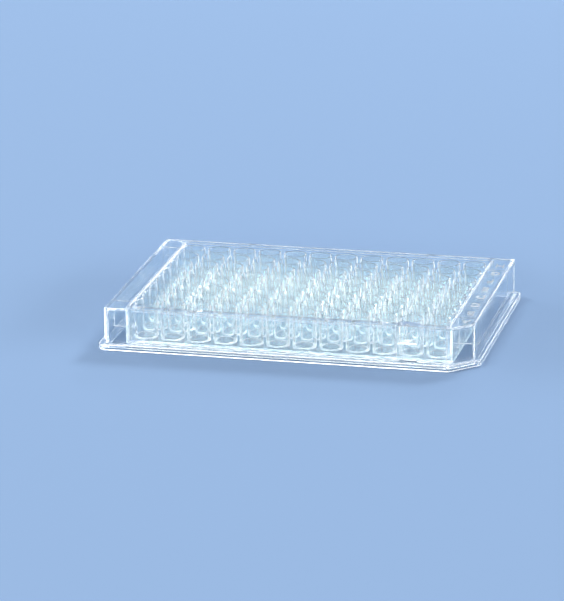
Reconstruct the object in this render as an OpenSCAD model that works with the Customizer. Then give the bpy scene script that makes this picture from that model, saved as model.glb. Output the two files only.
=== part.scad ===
// 96-well microplate, moulded in one piece from clear polystyrene.
// The origin is the middle of the footprint on the bench, +Z is up.
// Columns run along X with column 1 at -X, rows run along Y with row A at +Y.

/* [Well grid] */
// Number of columns of wells
cols = 12; // [6:1:18]
// Number of rows of wells
rows = 8; // [4:1:12]
// Distance between the centres of neighbouring wells
pitch = 9; // [8.6:0.05:11]
// From the centres of the end columns to the end of the footprint
margin_x = 14.38; // [14:0.01:18]
// From the centres of the outer rows to the side of the footprint
margin_y = 11.24; // [11:0.01:14]

/* [Wells] */
// Inside diameter of a well at its mouth
mouth_d = 6.86; // [6.4:0.01:7]
// Inside diameter of a well at its floor
floor_d = 6.4; // [6:0.01:6.8]
// Depth of a well
well_depth = 11.2; // [9:0.1:11.6]
// Thickness of a well's floor
floor_t = 1.4; // [0.9:0.1:1.6]
// Wall of a well's tube at its rim
tube_t = 0.5; // [0.4:0.05:0.6]
// Wall of a well's tube at its foot
tube_foot_t = 0.85; // [0.6:0.05:0.9]

/* [Shell] */
// Overall height
plate_h = 14.2; // [14:0.05:20]
// Thickness of the flat border of the top
deck_t = 1.2; // [0.8:0.1:2]
// Wall of the outer skirt
skirt_t = 1.2; // [0.8:0.1:1.6]
// Height of the flange around the foot
flange_h = 2.0; // [1.4:0.1:3]
// How far the flange stands out from the skirt
flange_lip = 2.1; // [1:0.1:2.4]
// Rounding of the three plain corners of the flange
corner_r = 2.6; // [1:0.1:5]
// Rounding of the same corners of the skirt
skirt_r = 0.5; // [0.3:0.1:2]
// Leg of the chamfer on the flange's corner beside well A1
chamfer = 9.0; // [4:0.1:10]
// Depth of the step under the flange that the plate below nests in
nest_depth = 0.65; // [0.3:0.05:1]
// Clearance between that step and the top of the plate below
nest_gap = 0.4; // [0.2:0.05:0.8]

/* [Basin around the tubes] */
// From the centres of the end columns to the outside of the basin's wall
basin_x = 5.5; // [5.2:0.1:6.5]
// From the centres of the outer rows to the outside of the basin's wall
basin_y = 6.5; // [6.2:0.1:7.5]
// Thickness of the basin's wall
basin_t = 1.1; // [0.6:0.1:1.4]
// Thickness of the base plate that the tubes stand on
base_t = 1.0; // [0.8:0.1:1.2]
// How far the basin's wall stands out below the base plate, to keep it off the bench
foot_lip = 0.3; // [0.1:0.1:0.6]

/* [Ribs] */
// Thickness of the ribs across the end compartments
rib_t = 1.0; // [0.6:0.1:2]
// How far those ribs reach down from the top
rib_drop = 9.0; // [4:0.1:11]
// Distance of the ribs beside column 1 inward from the outer rows' centres
rib_in_first = 4.5; // [2:0.1:7]
// Thickness of the ties between the basin and the long sides of the skirt
tie_t = 0.8; // [0.5:0.1:1.5]
// Distance of the end ties inward from the outside of the basin's wall
tie_in = 2.0; // [1.2:0.1:4]
// Column that the middle ties stand at, counted from either end
tie_col = 3; // [2:1:3]

/* [Gate recess] */
// Column that the recess in the row A side stands at
recess_col = 2; // [2:1:3]
// Width of the recess
recess_w = 5.8; // [4:0.1:7]
// How far the basin's wall steps inward there
recess_in = 1.3; // [0.5:0.1:1.6]
// How far the solid bridge over the recess reaches down from the top
recess_bridge = 6.4; // [3:0.1:9]

/* [Hidden] */
$fn = 64;

clear_plastic = [0.80, 0.89, 0.96, 0.45];
eps = 0.01;

grid_l = (cols - 1) * pitch;
grid_w = (rows - 1) * pitch;
foot_l = grid_l + 2 * margin_x;
foot_w = grid_w + 2 * margin_y;
basin_l = grid_l + 2 * basin_x;
basin_w = grid_w + 2 * basin_y;

deck_low = plate_h - deck_t;
well_floor = plate_h - well_depth;
base_low = well_floor - floor_t;
base_top = base_low + base_t;
basin_foot = base_low - foot_lip;
rim_out_d = mouth_d + 2 * tube_t;
foot_out_d = floor_d + 2 * tube_foot_t;

// Step from an outline to one drawn inside it that keeps a 45 degree face parallel
chamfer_step = 2 - sqrt(2);

function col_x(i) = (i - 1) * pitch - grid_l / 2;
function row_y(j) = grid_w / 2 - (j - 1) * pitch;

// Plan of the footprint, drawn in by inset all round, chamfered at the A1 corner
module outline(inset, r) {
    l = foot_l / 2 - inset;
    w = foot_w / 2 - inset;
    leg = chamfer - inset * chamfer_step;
    difference() {
        union() {
            square([2 * l, 2 * (w - r)], center = true);
            square([2 * (l - r), 2 * w], center = true);
            for (corner = [[1, 1], [1, -1], [-1, -1]])
                translate([corner[0] * (l - r), corner[1] * (w - r)]) circle(r);
            translate([-l, w - 2 * r]) square(2 * r);
        }
        translate([-l, w]) rotate(45) square(leg * sqrt(2), center = true);
    }
}

// Repeats its children at every well
module at_wells() {
    for (i = [1 : cols], j = [1 : rows])
        translate([col_x(i), row_y(j), 0]) children();
}

// Outer skirt with the flat border on top and the flange around its foot
module shell() {
    difference() {
        union() {
            linear_extrude(plate_h) outline(flange_lip, skirt_r);
            linear_extrude(flange_h) outline(0, corner_r);
        }
        translate([0, 0, -eps])
            linear_extrude(deck_low + eps) outline(flange_lip + skirt_t, skirt_r);
        translate([0, 0, -eps])
            linear_extrude(nest_depth + eps) outline(flange_lip - nest_gap, skirt_r);
    }
}

// Plan of the basin around the wells, drawn in by inset, with the step at the recess
module basin_plan(inset) {
    difference() {
        square([basin_l - 2 * inset, basin_w - 2 * inset], center = true);
        translate([col_x(recess_col) - recess_w / 2 - inset, basin_w / 2 - inset - recess_in])
            square([recess_w + 2 * inset, recess_in + eps]);
    }
}

// Wall of the basin, open at the top and up to the level of the deck
module basin_wall() {
    translate([0, 0, basin_foot]) linear_extrude(plate_h - basin_foot)
        difference() {
            basin_plan(0);
            basin_plan(basin_t);
        }
}

// Hollow of the basin in the shell, which bares the tubes down to the base plate
module basin() {
    translate([0, 0, base_top]) linear_extrude(plate_h + eps - base_top) basin_plan(basin_t);
}

// Base plate, which closes the basin below and carries the tubes
module base() {
    translate([0, 0, base_low]) linear_extrude(base_t) basin_plan(basin_t / 2);
}

// Tubes of the wells, standing free from the base plate up to the level of the deck
module tubes() {
    at_wells()
        translate([0, 0, base_low])
            cylinder(h = plate_h - base_low, d1 = foot_out_d, d2 = rim_out_d);
}

// Insides of the wells
module bores() {
    at_wells()
        translate([0, 0, well_floor])
            cylinder(h = well_depth + eps, d1 = floor_d, d2 = mouth_d);
}

// Ribs across the two end compartments, hanging from the top
module end_ribs() {
    rib_l = foot_l / 2 - flange_lip - skirt_t - basin_l / 2 + 2 * eps;
    for (side = [-1, 1]) {
        translate([basin_l / 2 - eps, side * grid_w / 2 - rib_t / 2, plate_h - rib_drop])
            cube([rib_l, rib_t, rib_drop - deck_t + eps]);
        translate([-basin_l / 2 + eps - rib_l, side * (grid_w / 2 - rib_in_first) - rib_t / 2, plate_h - rib_drop])
            cube([rib_l, rib_t, rib_drop - deck_t + eps]);
    }
}

// Thin ties between the basin's wall and the long sides of the skirt
module ties() {
    tie_w = foot_w / 2 - flange_lip - skirt_t - basin_w / 2 + 2 * eps;
    for (x = [-basin_l / 2 + tie_in, col_x(tie_col), col_x(cols + 1 - tie_col), basin_l / 2 - tie_in],
         side = [-1, 1])
        translate([x - tie_t / 2, side > 0 ? basin_w / 2 - eps : -basin_w / 2 + eps - tie_w, basin_foot])
            cube([tie_t, tie_w, deck_low + eps - basin_foot]);
}

// Solid bridge between the skirt and the stepped wall over the recess
module recess_bridge() {
    bridge_y = basin_w / 2 - recess_in - eps;
    translate([col_x(recess_col) - recess_w / 2 - eps, bridge_y, plate_h - recess_bridge])
        cube([recess_w + 2 * eps, foot_w / 2 - flange_lip - skirt_t + eps - bridge_y, recess_bridge - deck_t + eps]);
}

module plate() {
    color(clear_plastic)
        difference() {
            union() {
                difference() {
                    union() {
                        shell();
                        basin_wall();
                    }
                    basin();
                }
                base();
                tubes();
                end_ribs();
                ties();
                recess_bridge();
            }
            bores();
        }
}

plate();
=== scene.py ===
# %% [markdown]
# # A clear 96-well plate
# The plate is one injection moulding in clear polystyrene. This script loads the packed
# solid as a fixed frame and dresses it: a finer mesh of the same form, with the small
# rounded edges that a polished mould leaves, the raised row letters and column numbers,
# and a clear glossy plastic. Lengths below are in metres, written as a number times MM.

# %% Load the frame
import math

import bmesh
import bpy
from mathutils import Matrix, Vector


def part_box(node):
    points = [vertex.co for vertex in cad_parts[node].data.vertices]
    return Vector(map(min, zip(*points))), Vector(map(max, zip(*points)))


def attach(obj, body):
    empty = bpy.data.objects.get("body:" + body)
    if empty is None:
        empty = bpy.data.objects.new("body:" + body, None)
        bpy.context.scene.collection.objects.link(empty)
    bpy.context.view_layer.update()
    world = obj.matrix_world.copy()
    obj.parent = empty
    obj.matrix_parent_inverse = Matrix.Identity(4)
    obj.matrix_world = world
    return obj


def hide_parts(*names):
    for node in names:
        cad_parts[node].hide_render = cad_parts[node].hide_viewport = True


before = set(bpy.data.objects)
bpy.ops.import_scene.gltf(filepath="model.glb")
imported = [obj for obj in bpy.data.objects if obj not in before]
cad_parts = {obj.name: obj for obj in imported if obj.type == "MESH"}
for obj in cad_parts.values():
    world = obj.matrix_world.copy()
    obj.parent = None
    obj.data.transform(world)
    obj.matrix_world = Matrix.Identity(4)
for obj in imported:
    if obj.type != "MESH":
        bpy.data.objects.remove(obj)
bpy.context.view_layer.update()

MM = 0.001
scene = bpy.context.scene
low, high = (Vector(corner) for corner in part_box("plate"))
print("plate measures", [round(v / MM, 2) for v in high - low], "mm")

# %% [markdown]
# ## Sizes
# A 96-well plate follows one standard: wells 9 mm apart, in a footprint that every reader
# and washer accepts. The footprint and the height come from the frame, and the rest are
# the thicknesses and steps of the moulding.

# %% Sizes of the moulding
COLUMNS, ROWS = 12, 8
PITCH = 9 * MM
HALF_X, HALF_Y, HEIGHT = high.x, high.y, high.z
GRID_X, GRID_Y = (COLUMNS - 1) * PITCH / 2, (ROWS - 1) * PITCH / 2

MOUTH_R, FLOOR_R = 3.43 * MM, 3.2 * MM
WELL_DEPTH, FLOOR_T = 11.2 * MM, 1.4 * MM
TUBE_T, TUBE_FOOT_T = 0.5 * MM, 0.85 * MM
DECK_T, SKIRT_T = 1.2 * MM, 1.2 * MM
FLANGE_H, FLANGE_LIP = 2.0 * MM, 2.1 * MM
CORNER_R, SKIRT_R, CHAMFER = 2.6 * MM, 0.5 * MM, 9.0 * MM
NEST_DEPTH, NEST_GAP = 0.65 * MM, 0.4 * MM
BASIN_X, BASIN_Y, BASIN_T = 5.5 * MM, 6.5 * MM, 1.1 * MM
BASE_T, FOOT_LIP = 1.0 * MM, 0.3 * MM
RIB_T, RIB_DROP, RIB_IN_FIRST = 1.0 * MM, 9.0 * MM, 4.5 * MM
TIE_T, TIE_IN, TIE_COLUMN = 0.8 * MM, 2.0 * MM, 3
RECESS_COLUMN, RECESS_W, RECESS_IN, RECESS_BRIDGE = 2, 5.8 * MM, 1.3 * MM, 6.4 * MM

DECK_LOW = HEIGHT - DECK_T
WELL_FLOOR = HEIGHT - WELL_DEPTH
BASE_LOW = WELL_FLOOR - FLOOR_T
BASE_TOP = BASE_LOW + BASE_T
BASIN_FOOT = BASE_LOW - FOOT_LIP
BASIN_HALF_X, BASIN_HALF_Y = GRID_X + BASIN_X, GRID_Y + BASIN_Y


def column_x(number):
    """Centre of a column, counted from 1 at -X."""
    return (number - 1) * PITCH - GRID_X


def row_y(number):
    """Centre of a row, counted from 1, row A, at +Y."""
    return GRID_Y - (number - 1) * PITCH


print("wells run from", round(column_x(1) / MM, 1), "to", round(column_x(COLUMNS) / MM, 1), "mm")

# %% [markdown]
# ## Outlines
# Every wall of the plate stands on a plan outline: a rectangle with three rounded corners
# and one chamfer for the skirt and flange, and a plain rectangle with one small step for
# the basin around the wells. One function rounds the corners of any such outline with the
# same number of points, so that outlines drawn at other insets can be joined with quads.

# %% Outlines with rounded corners
ARC_STEPS = 8
CHAMFER_ROUND, BASIN_ROUND = 0.3 * MM, 0.2 * MM
# What the leg of the chamfer loses per inset, so that its 45 degree face stays parallel.
CHAMFER_STEP = 2 - math.sqrt(2)


def rounded(corners, radii):
    """Points of a polygon, counter-clockwise, with an arc of ARC_STEPS at each corner."""
    points = []
    count = len(corners)
    for k in range(count):
        corner, radius = Vector(corners[k]), radii[k]
        back = (Vector(corners[k - 1]) - corner).normalized()
        ahead = (Vector(corners[(k + 1) % count]) - corner).normalized()
        half = back.angle(ahead) / 2
        centre = corner + (back + ahead).normalized() * radius / math.sin(half)
        first = corner + back * radius / math.tan(half) - centre
        turn = (math.pi - 2 * half) * math.copysign(1, back.y * ahead.x - back.x * ahead.y)
        for step in range(ARC_STEPS + 1):
            spin = Matrix.Rotation(turn * step / ARC_STEPS, 2)
            points.append(centre + spin @ first)
    return points


def foot_outline(inset, radius):
    """The footprint drawn in by inset, with its chamfer beside well A1."""
    x, y = HALF_X - inset, HALF_Y - inset
    leg = CHAMFER - inset * CHAMFER_STEP
    corners = [(x, y), (-x + leg, y), (-x, y - leg), (-x, -y), (x, -y)]
    return rounded(corners, [radius, CHAMFER_ROUND, CHAMFER_ROUND, radius, radius])


def basin_outline(inset):
    """The basin around the wells drawn in by inset, with its step at the gate recess."""
    x, y = BASIN_HALF_X - inset, BASIN_HALF_Y - inset
    half = RECESS_W / 2 + inset
    middle, dip = column_x(RECESS_COLUMN), y - RECESS_IN
    corners = [(x, y), (middle + half, y), (middle + half, dip),
               (middle - half, dip), (middle - half, y), (-x, y), (-x, -y), (x, -y)]
    return rounded(corners, [BASIN_ROUND] * len(corners))


print("footprint outline has", len(foot_outline(0, CORNER_R)), "points")

# %% [markdown]
# ## Joining outlines into walls
# A wall is a stack of outlines at rising or falling heights. Neighbouring outlines have
# as many points, so plain quads join them, and a flat face between two different outlines
# is filled with triangles. Edges turn over a small radius in short steps, because a
# polished mould has no knife edges and it is those roundings that catch the light.

# %% Helpers that build walls
EDGE_R = 0.25 * MM
EDGE_STEPS = 3
# A section starts this far in on the deck, only to give its first edge a direction.
RUN_IN = 1 * MM


def ring(bm, outline, z):
    """One closed ring of vertices at height z."""
    return [bm.verts.new((p.x, p.y, z)) for p in outline]


def join(bm, first, second):
    """Quads between two rings of as many vertices."""
    for k in range(len(first)):
        bm.faces.new((first[k - 1], first[k], second[k], second[k - 1]))


def fill_between(bm, rings):
    """Flat triangles in the region that the rings bound."""
    edges = []
    for loop in rings:
        for k in range(len(loop)):
            a, b = loop[k - 1], loop[k]
            edges.append(bm.edges.get((a, b)) or bm.edges.new((a, b)))
    bmesh.ops.triangle_fill(bm, use_beauty=True, use_dissolve=False, edges=edges)


def turn_edge(start, end, corner):
    """Steps from start round to end, two points of a section, both EDGE_R from corner."""
    steps = []
    for k in range(EDGE_STEPS + 1):
        a = math.pi / 2 * k / EDGE_STEPS
        from_start, from_end = 1 - math.sin(a), 1 - math.cos(a)
        steps.append(corner + (start - corner) * from_start + (end - corner) * from_end)
    return steps


def rounded_section(points, round_at):
    """A section path of (inset, height) points, with an edge rounding at the listed points."""
    path = []
    for k, (inset, z) in enumerate(points):
        here = Vector((inset, z))
        if k not in round_at:
            path.append(here)
            continue
        back = (Vector(points[k - 1]) - here).normalized() * EDGE_R
        ahead = (Vector(points[k + 1]) - here).normalized() * EDGE_R
        path.extend(turn_edge(here + back, here + ahead, here))
    return path


print("edges turn over", round(EDGE_R / MM, 2), "mm in", EDGE_STEPS, "steps")

# %% [markdown]
# ## The skirt, deck and flange
# The shell is the rim of the plate: a flat deck on top, the skirt below it and the flange
# at its foot, stepped underneath so that plates stack. One section is carried round the
# footprint, from the edge of the deck down the outside, under the flange and up inside.

# %% Shell around the footprint
def shell(bm):
    """Skirt and flange. Returns the ring on top of the deck and the one under it."""
    section = rounded_section(
        [(FLANGE_LIP + RUN_IN, HEIGHT), (FLANGE_LIP, HEIGHT), (FLANGE_LIP, FLANGE_H),
         (0, FLANGE_H), (0, 0), (FLANGE_LIP - NEST_GAP, 0), (FLANGE_LIP - NEST_GAP, NEST_DEPTH),
         (FLANGE_LIP + SKIRT_T, NEST_DEPTH), (FLANGE_LIP + SKIRT_T, DECK_LOW)],
        round_at=(1, 3, 4, 5))[1:]
    rings = []
    for inset, z in section:
        radius = max(CORNER_R - inset, SKIRT_R)
        rings.append(ring(bm, foot_outline(inset, radius), z))
    for upper, lower in zip(rings, rings[1:]):
        join(bm, upper, lower)
    return rings[0], rings[-1]


print("skirt measures", [round(2 * (v - FLANGE_LIP) / MM, 2) for v in (HALF_X, HALF_Y)], "mm")

# %% [markdown]
# ## The basin around the wells
# The wells don't hang from a solid top. They stand in a shallow basin that is open above,
# and only a thin base plate joins them at the bottom. The basin's wall comes down from the
# deck and stands out a little below the base plate, so that the well bottoms, which optics
# look through, never touch the bench. Its outside and its inside are two short sections.

# %% Basin wall
def basin_outside(bm):
    """Wall of the basin. Returns its rings at the deck's underside and the base's underside."""
    section = rounded_section(
        [(0, DECK_LOW), (0, BASIN_FOOT), (BASIN_T, BASIN_FOOT), (BASIN_T, BASE_LOW)],
        round_at=(1, 2))
    rings = [ring(bm, basin_outline(inset), z) for inset, z in section]
    for outer, inner in zip(rings, rings[1:]):
        join(bm, outer, inner)
    return rings[0], rings[-1]


def basin_inside(bm):
    """Inside of the basin from the deck down to the base plate. Returns its end rings."""
    section = rounded_section(
        [(BASIN_T - RUN_IN, HEIGHT), (BASIN_T, HEIGHT), (BASIN_T, BASE_TOP)], round_at=(1,))[1:]
    rings = [ring(bm, basin_outline(inset), z) for inset, z in section]
    for upper, lower in zip(rings, rings[1:]):
        join(bm, upper, lower)
    return rings[0], rings[-1]


print("basin measures", [round(2 * v / MM, 2) for v in (BASIN_HALF_X, BASIN_HALF_Y)], "mm")

# %% [markdown]
# ## The wells
# Each well is a tube that stands free on the base plate. It tapers a little inside and out
# so that it leaves the mould, its rim is rounded, and its floor is flat with a small
# rounding around it. One section of radius and height is turned round the well's axis: up
# the outside, over the rim, down the inside and across the floor.

# %% Wells
AROUND = 48
RIM_ROUND, FLOOR_ROUND = 0.1 * MM, 0.35 * MM
ROUND_STEPS = 3


def circle(x, y, radius):
    """Points of a circle round a well's axis."""
    angles = [2 * math.pi * k / AROUND for k in range(AROUND)]
    return [Vector((x + radius * math.cos(a), y + radius * math.sin(a))) for a in angles]


def tube_radius(z):
    """Outside radius of a tube at height z."""
    rise = (z - BASE_LOW) / (HEIGHT - BASE_LOW)
    return (FLOOR_R + TUBE_FOOT_T) * (1 - rise) + (MOUTH_R + TUBE_T) * rise


def quarter(r, z, radius, first, last):
    """Points of a section round the centre (r, z), between two angles in degrees."""
    degrees = [first + (last - first) * k / ROUND_STEPS for k in range(ROUND_STEPS + 1)]
    angles = [math.radians(turn) for turn in degrees]
    return [(r + radius * math.cos(a), z + radius * math.sin(a)) for a in angles]


def well_section():
    """Radius and height of a well's rings, from the base plate over the rim to its floor."""
    rim_z, rim_r = HEIGHT - RIM_ROUND, tube_radius(HEIGHT)
    foot = [(tube_radius(BASE_TOP), BASE_TOP)]
    outer_rim = quarter(rim_r - RIM_ROUND, rim_z, RIM_ROUND, 0, 90)
    inner_rim = quarter(MOUTH_R + RIM_ROUND, rim_z, RIM_ROUND, 90, 180)
    floor_corner = quarter(FLOOR_R - FLOOR_ROUND, WELL_FLOOR + FLOOR_ROUND, FLOOR_ROUND, 0, -90)
    return foot + outer_rim + inner_rim + floor_corner


def well(bm, x, y):
    """One well. Returns the ring in which it stands on the base plate."""
    rings = [ring(bm, circle(x, y, radius), z) for radius, z in well_section()]
    for first, second in zip(rings, rings[1:]):
        join(bm, first, second)
    bm.faces.new(rings[-1])
    return rings[0]


print("a well's section has", len(well_section()), "points")

# %% [markdown]
# ## One closed skin
# The parts above share rings of vertices, and flat faces close the deck, its underside, the
# basin's floor and the plate's underside. The result is one watertight skin with no face
# inside the plastic, which clear materials need: light bends wherever it meets a face.

# %% Build the moulding
def moulding():
    """The whole plate without its ribs, as one closed skin."""
    bm = bmesh.new()
    deck_rim, deck_under = shell(bm)
    wall_top, wall_foot = basin_outside(bm)
    basin_mouth, basin_floor = basin_inside(bm)
    feet = []
    for i in range(1, COLUMNS + 1):
        for j in range(1, ROWS + 1):
            feet.append(well(bm, column_x(i), row_y(j)))
    fill_between(bm, [deck_rim, basin_mouth])
    fill_between(bm, [deck_under, wall_top])
    fill_between(bm, [basin_floor] + feet)
    fill_between(bm, [wall_foot])
    bmesh.ops.recalc_face_normals(bm, faces=bm.faces)
    return bm


def new_object(name, bm):
    """Puts a finished mesh into the scene under a name."""
    mesh = bpy.data.meshes.new(name)
    bm.to_mesh(mesh)
    bm.free()
    thing = bpy.data.objects.new(name, mesh)
    scene.collection.objects.link(thing)
    return thing


plate = new_object("clear_plate", moulding())
print("skin has", len(plate.data.vertices), "points and", len(plate.data.polygons), "faces")

# %% [markdown]
# ## Ribs
# The hollows beside the basin are braced: ribs cross the end compartments, thin ties cross
# the long channels, and a solid bridge stands over the gate recess. Each is a plain bar
# that reaches into the walls it joins, and a boolean union welds it to the skin.

# %% Ribs, ties and bridge
RIB_ROUND, RIB_ROUND_STEPS = 0.15 * MM, 2
# How far a bar reaches into the walls at its ends.
SINK = 0.4 * MM


def bar(bm, low_corner, high_corner):
    """A bar between two corners, with slightly rounded edges."""
    size = Vector(high_corner) - Vector(low_corner)
    middle = (Vector(high_corner) + Vector(low_corner)) / 2
    place = Matrix.Translation(middle) @ Matrix.Diagonal((*size, 1))
    corners = bmesh.ops.create_cube(bm, size=1, matrix=place)["verts"]
    edges = {edge for corner in corners for edge in corner.link_edges}
    # A profile of 0.5 is a round arc.
    bmesh.ops.bevel(bm, geom=list(edges), offset=RIB_ROUND, segments=RIB_ROUND_STEPS,
                    affect="EDGES", profile=0.5)


def braces():
    """All ribs and ties and the bridge, as bars in one mesh."""
    bm = bmesh.new()
    top, rib_low = DECK_LOW + SINK, HEIGHT - RIB_DROP
    skirt_x, skirt_y = HALF_X - FLANGE_LIP - SKIRT_T + SINK, HALF_Y - FLANGE_LIP - SKIRT_T + SINK
    basin_x, basin_y = BASIN_HALF_X - SINK, BASIN_HALF_Y - SINK
    for side in (-1, 1):
        last, first = side * GRID_Y, side * (GRID_Y - RIB_IN_FIRST)
        bar(bm, (basin_x, last - RIB_T / 2, rib_low), (skirt_x, last + RIB_T / 2, top))
        bar(bm, (-skirt_x, first - RIB_T / 2, rib_low), (-basin_x, first + RIB_T / 2, top))
        ends = BASIN_HALF_X - TIE_IN
        for x in (-ends, column_x(TIE_COLUMN), column_x(COLUMNS + 1 - TIE_COLUMN), ends):
            near, far = sorted((side * basin_y, side * skirt_y))
            bar(bm, (x - TIE_T / 2, near, BASIN_FOOT), (x + TIE_T / 2, far, top))
    middle = column_x(RECESS_COLUMN)
    bar(bm, (middle - RECESS_W / 2 - SINK, basin_y - RECESS_IN, HEIGHT - RECESS_BRIDGE),
        (middle + RECESS_W / 2 + SINK, skirt_y, top))
    return bm


ribs = new_object("ribs", braces())
weld = plate.modifiers.new("weld_ribs", "BOOLEAN")
weld.operation = "UNION"
weld.solver = "MANIFOLD"
weld.object = ribs
graph = bpy.context.evaluated_depsgraph_get()
welded = bpy.data.meshes.new_from_object(plate.evaluated_get(graph))
plate.modifiers.clear()
plate.data = welded
bpy.data.objects.remove(ribs)
print("welded skin has", len(plate.data.vertices), "points and", len(plate.data.polygons), "faces")

# %% [markdown]
# ## Smooth roundings, flat faces
# The tubes and the small edge roundings are made of flat facets. Smooth shading blends the
# facets, so that a rounding carries one unbroken highlight, and only real corners stay
# sharp. A Weighted Normal modifier then lets the large faces decide, which keeps them flat
# right up to their rounded edges.

# %% Shading of the moulding
REAL_CORNER = math.radians(40)
LARGE_FACES_FIRST = 100
plate.data.shade_smooth()
plate.data.set_sharp_from_angle(angle=REAL_CORNER)
flatten = plate.modifiers.new("flat_faces", "WEIGHTED_NORMAL")
flatten.mode = "FACE_AREA"
flatten.weight = LARGE_FACES_FIRST
flatten.keep_sharp = True
print("sharp edges:", sum(edge.use_edge_sharp for edge in plate.data.edges))

# %% [markdown]
# ## Row letters and column numbers
# The letters A to H stand beside column 1 and the numbers 1 to 12 along row A. The mould
# has them cut in by a fraction of a millimetre, so they stand up from the deck. Blender's
# text object gives each character as an outline, its extrude gives the height, and all
# characters of a set become one mesh.

# %% Raised characters
LETTER_H, NUMBER_H = 3.4 * MM, 2.2 * MM
RAISED, SUNK = 0.2 * MM, 0.05 * MM
LETTERS_X = column_x(1) - 8.8 * MM
NUMBERS_Y = row_y(1) + 7.2 * MM
# Height of a capital as a share of the font's size.
CAP_SHARE = 0.7
CURVE_STEPS, SAME_POINT = 4, 0.001 * MM


def characters(name, marks, height):
    """One mesh of raised characters. Each mark is its text and its place on the deck."""
    bm = bmesh.new()
    for text, x, y in marks:
        curve = bpy.data.curves.new(name, "FONT")
        curve.body = text
        curve.size = height / CAP_SHARE
        curve.align_x, curve.align_y = "CENTER", "CENTER"
        curve.extrude = (RAISED + SUNK) / 2
        curve.resolution_u = CURVE_STEPS
        writing = bpy.data.objects.new(name, curve)
        outline = bpy.data.meshes.new_from_object(writing)
        outline.transform(Matrix.Translation((x, y, HEIGHT + (RAISED - SUNK) / 2)))
        bm.from_mesh(outline)
        bpy.data.objects.remove(writing)
        bpy.data.curves.remove(curve)
        bpy.data.meshes.remove(outline)
    bmesh.ops.remove_doubles(bm, verts=bm.verts, dist=SAME_POINT)
    bmesh.ops.recalc_face_normals(bm, faces=bm.faces)
    open_edges = sum(not edge.is_manifold for edge in bm.edges)
    print(name, "has", len(bm.faces), "faces and", open_edges, "open edges")
    return new_object(name, bm)


letters = characters(
    "row_letters", [("ABCDEFGH"[j], LETTERS_X, row_y(j + 1)) for j in range(ROWS)], LETTER_H)
numbers = characters(
    "column_numbers", [(str(i), column_x(i), NUMBERS_Y) for i in range(1, COLUMNS + 1)], NUMBER_H)

# %% [markdown]
# ## Clear polystyrene
# Crystal polystyrene is a hard, colourless plastic that bends light more than glass does,
# which is why its edges look bright. Injection moulding against polished steel leaves it
# glossy. Two faint traces of the moulding keep it from looking like cut glass: the faces
# are a little wavy where the melt shrank, and the gloss changes slightly from place to
# place. Both are noise in the material, at the size of those traces.

# %% Colour and node helpers
def linear(hex_colour):
    """Linear colour of an sRGB hex value."""
    parts = [int(hex_colour[k:k + 2], 16) / 255 for k in (1, 3, 5)]
    return tuple(v / 12.92 if v <= 0.04045 else ((v + 0.055) / 1.055) ** 2.4 for v in parts) + (1,)


def add_node(tree, kind, inputs=None, **settings):
    """Adds a node, sets its properties, and fills its inputs with values or links."""
    node = tree.nodes.new(kind)
    for name, value in settings.items():
        setattr(node, name, value)
    for name, value in (inputs or {}).items():
        if isinstance(value, bpy.types.NodeSocket):
            tree.links.new(value, node.inputs[name])
        else:
            node.inputs[name].default_value = value
    return node


print("mid grey is", round(linear("#808080")[0], 3), "in linear light")

# %% Clear polystyrene
REFRACTION = 1.59
GLOSS_PATCH, SHRINK_WAVE, WAVE_DEPTH = 5 * MM, 14 * MM, 0.03 * MM
# Most of a noise lies between these two values.
NOISE_LOW, NOISE_HIGH = 0.35, 0.65
# Nearly colourless, with a trace of blue-green that comes and goes with the gloss.
PALEST, DEEPEST = "#FEFFFF", "#FBFFFF"
# Roughness of the glossiest and of the dullest patch.
POLISHED, SATIN = (0.02, 0.05), (0.25, 0.35)


def clear_polystyrene(name, roughness):
    """Crystal polystyrene. roughness holds its lowest and highest value."""
    material = bpy.data.materials.new(name)
    material.use_nodes = True
    tree = material.node_tree
    shader = tree.nodes["Principled BSDF"]
    shader.inputs["IOR"].default_value = REFRACTION
    shader.inputs["Transmission Weight"].default_value = 1.0
    place = add_node(tree, "ShaderNodeTexCoord").outputs["Object"]
    patches = add_node(tree, "ShaderNodeTexNoise", {
        "Vector": place, "Scale": 1 / GLOSS_PATCH, "Detail": 3})
    gloss = add_node(tree, "ShaderNodeMapRange", {
        "Value": patches.outputs["Fac"], "From Min": NOISE_LOW, "From Max": NOISE_HIGH,
        "To Min": roughness[0], "To Max": roughness[1]})
    # A Mix node's colours are its inputs 6 and 7 and its output 2, since sockets share names.
    tint = add_node(tree, "ShaderNodeMix", {
        0: patches.outputs["Fac"], 6: linear(PALEST), 7: linear(DEEPEST)}, data_type="RGBA")
    waves = add_node(tree, "ShaderNodeTexNoise", {
        "Vector": place, "Scale": 1 / SHRINK_WAVE, "Detail": 1})
    bump = add_node(tree, "ShaderNodeBump", {
        "Height": waves.outputs["Fac"], "Strength": 1.0, "Distance": WAVE_DEPTH})
    tree.links.new(gloss.outputs["Result"], shader.inputs["Roughness"])
    tree.links.new(tint.outputs[2], shader.inputs["Base Color"])
    tree.links.new(bump.outputs["Normal"], shader.inputs["Normal"])
    return material


polished = clear_polystyrene("clear_polystyrene", POLISHED)
# The cut-in characters of a mould aren't polished, so theirs is a satin, whitish surface.
satin = clear_polystyrene("satin_polystyrene", SATIN)
plate.data.materials.clear()
plate.data.materials.append(polished)
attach(plate, "root")
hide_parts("plate")
for marks in (letters, numbers):
    marks.data.materials.append(satin)
    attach(marks, "root")
print("materials:", polished.name, "and", satin.name)

# %% [markdown]
# ## Floor
# A clear object shows what lies around it. The floor is plain and pale, yet a step deeper
# than white, so that the bright edges of the plastic stand out against it. It is matt like
# paper, without a sheen. It lies a hair below the plate, because a ray can't tell which of
# two faces at one height comes first.

# %% Floor
PALE_BLUE = "#9AB8DF"
FLOOR_GAP = 0.05 * MM
FLOOR_REACH = 4


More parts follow.
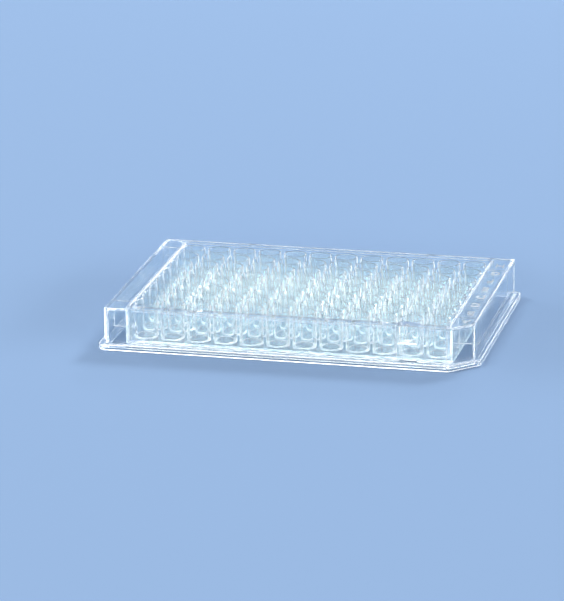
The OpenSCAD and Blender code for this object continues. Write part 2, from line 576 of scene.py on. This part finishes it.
def floor():
    """A matt square that reaches FLOOR_REACH metres each way from the plate."""
    bm = bmesh.new()
    bmesh.ops.create_grid(bm, x_segments=1, y_segments=1, size=FLOOR_REACH)
    thing = new_object("floor", bm)
    thing.location.z = -FLOOR_GAP
    material = bpy.data.materials.new("pale_floor")
    material.use_nodes = True
    shader = material.node_tree.nodes["Principled BSDF"]
    shader.inputs["Base Color"].default_value = linear(PALE_BLUE)
    shader.inputs["Roughness"].default_value = 1.0
    shader.inputs["Specular IOR Level"].default_value = 0.0
    thing.data.materials.append(material)


floor()
print("floor lies", round(FLOOR_GAP / MM, 2), "mm below the plate")

# %% [markdown]
# ## Lamps
# Clear plastic has no colour of its own to light up. It is drawn by what its faces mirror
# and bend, so each lamp has a job. Upright walls keep the slope of a ray, so long strips at
# both sides and in front, seen from the plate at about the camera's angle above the bench,
# fill the tubes with white. One lamp overhead draws the long edges, one behind catches the
# tops of the tubes, and two low ones far behind draw the edges of the short sides. None
# stands where the flat top would mirror it to the camera.

# %% Lamps
def soft_lamp(name, place, size, power):
    """An area lamp that faces the plate. size holds its width and its height."""
    lamp = bpy.data.lights.new(name, "AREA")
    lamp.shape = "RECTANGLE"
    lamp.size, lamp.size_y = size
    lamp.energy = power
    thing = bpy.data.objects.new(name, lamp)
    thing.location = place
    thing.rotation_euler = (-Vector(place)).to_track_quat("-Z", "Y").to_euler()
    scene.collection.objects.link(thing)


soft_lamp("overhead_lamp", (0.64, 0.1, 2.08), (0.7, 0.7), 10)
soft_lamp("rear_lamp", (-0.55, -1.64, 1.42), (0.5, 0.5), 18)
soft_lamp("low_right_lamp", (-0.04, -2.04, 0.82), (0.4, 0.4), 6)
soft_lamp("low_left_lamp", (0.76, -2.04, 0.34), (0.24, 0.24), 2.4)
soft_lamp("left_strip", (1.95, 0.1, 0.64), (3.0, 0.5), 24)
soft_lamp("right_strip", (-1.9, 0.4, 0.64), (3.0, 0.5), 24)
soft_lamp("front_strip", (0.2, 2.1, 0.7), (3.0, 0.6), 25)

# %% [markdown]
# ## The room around it
# Beyond the lamps the plastic shows the room. The backdrop behind the plate has the blue of
# the floor, which leaves the flat top clear and blue. The ceiling and the walls at the
# sides and in front are white, fill the tubes, and light the floor through the plate. The
# room is brighter to the rays that the plastic mirrors and bends than to matt surfaces, so
# that it shows at its full colour without lighting the open floor too much.

# %% Room
ROOM_WHITE = "#F6F9FE"
# The backdrop comes in between these values of a direction's Y.
BACKDROP_FROM, BACKDROP_TO = -0.4, -0.85
LIGHT_ON_MATT, AS_SEEN = 0.2, 1.0


def studio_world():
    """A plain room, as colours over the direction that a ray leaves in."""
    world = bpy.data.worlds.new("studio")
    scene.world = world
    world.use_nodes = True
    tree = world.node_tree
    toward = add_node(tree, "ShaderNodeSeparateXYZ", {
        "Vector": add_node(tree, "ShaderNodeTexCoord").outputs["Generated"]})
    behind = add_node(tree, "ShaderNodeMapRange", {
        "Value": toward.outputs["Y"], "From Min": BACKDROP_FROM, "From Max": BACKDROP_TO})
    room = add_node(tree, "ShaderNodeMix", {
        0: behind.outputs["Result"], 6: linear(ROOM_WHITE), 7: linear(PALE_BLUE)},
        data_type="RGBA")
    path = add_node(tree, "ShaderNodeLightPath")
    direct = add_node(tree, "ShaderNodeMath", {
        0: path.outputs["Is Camera Ray"], 1: path.outputs["Is Glossy Ray"]},
        operation="MAXIMUM")
    seen = add_node(tree, "ShaderNodeMath", {
        0: direct.outputs[0], 1: path.outputs["Is Transmission Ray"]},
        operation="MAXIMUM")
    strength = add_node(tree, "ShaderNodeMapRange", {
        "Value": seen.outputs[0], "To Min": LIGHT_ON_MATT, "To Max": AS_SEEN})
    background = tree.nodes["Background"]
    tree.links.new(room.outputs[2], background.inputs["Color"])
    tree.links.new(strength.outputs["Result"], background.inputs["Strength"])


studio_world()
print("room lights matt surfaces at", LIGHT_ON_MATT, "and shows in the plastic at", AS_SEEN)

# %% [markdown]
# ## Camera
# A long lens from some way off, on the side of row A and a little above the plate, keeps
# its long edges almost parallel. The camera stands DISTANCE metres from the point AIM.

# %% Camera
AZIMUTH, ELEVATION, ROLL = math.radians(193.5), math.radians(17.5), math.radians(-0.6)
AIM = Vector((16.2, -22.4, 0)) * MM
DISTANCE, LENS, SENSOR = 1.368, 238, 36

away = Vector((math.sin(AZIMUTH) * math.cos(ELEVATION),
               -math.cos(AZIMUTH) * math.cos(ELEVATION),
               math.sin(ELEVATION)))
camera = bpy.data.objects.new("camera", bpy.data.cameras.new("camera"))
camera.data.lens = LENS
camera.data.sensor_width = SENSOR
camera.location = AIM + away * DISTANCE
turn = away.to_track_quat("Z", "Y") @ Matrix.Rotation(ROLL, 4, "Z").to_quaternion()
camera.rotation_euler = turn.to_euler()
scene.collection.objects.link(camera)
scene.camera = camera
print("camera stands", round(camera.location.z, 3), "m above the bench")

# %% [markdown]
# ## Finish
# Light inside clear plastic is mirrored many times before it leaves by an edge, and a ray
# that is cut short comes out black. A ray that crosses eight rows of tubes meets dozens of
# faces. So the limits on bounces are raised, and also the one on mirror bounces, because a
# total reflection inside the plastic counts as one of those.

# %% Finish
scene.view_settings.view_transform = "Standard"
FACES_CROSSED = 96
scene.cycles.max_bounces = FACES_CROSSED
scene.cycles.transmission_bounces = FACES_CROSSED
scene.cycles.glossy_bounces = FACES_CROSSED
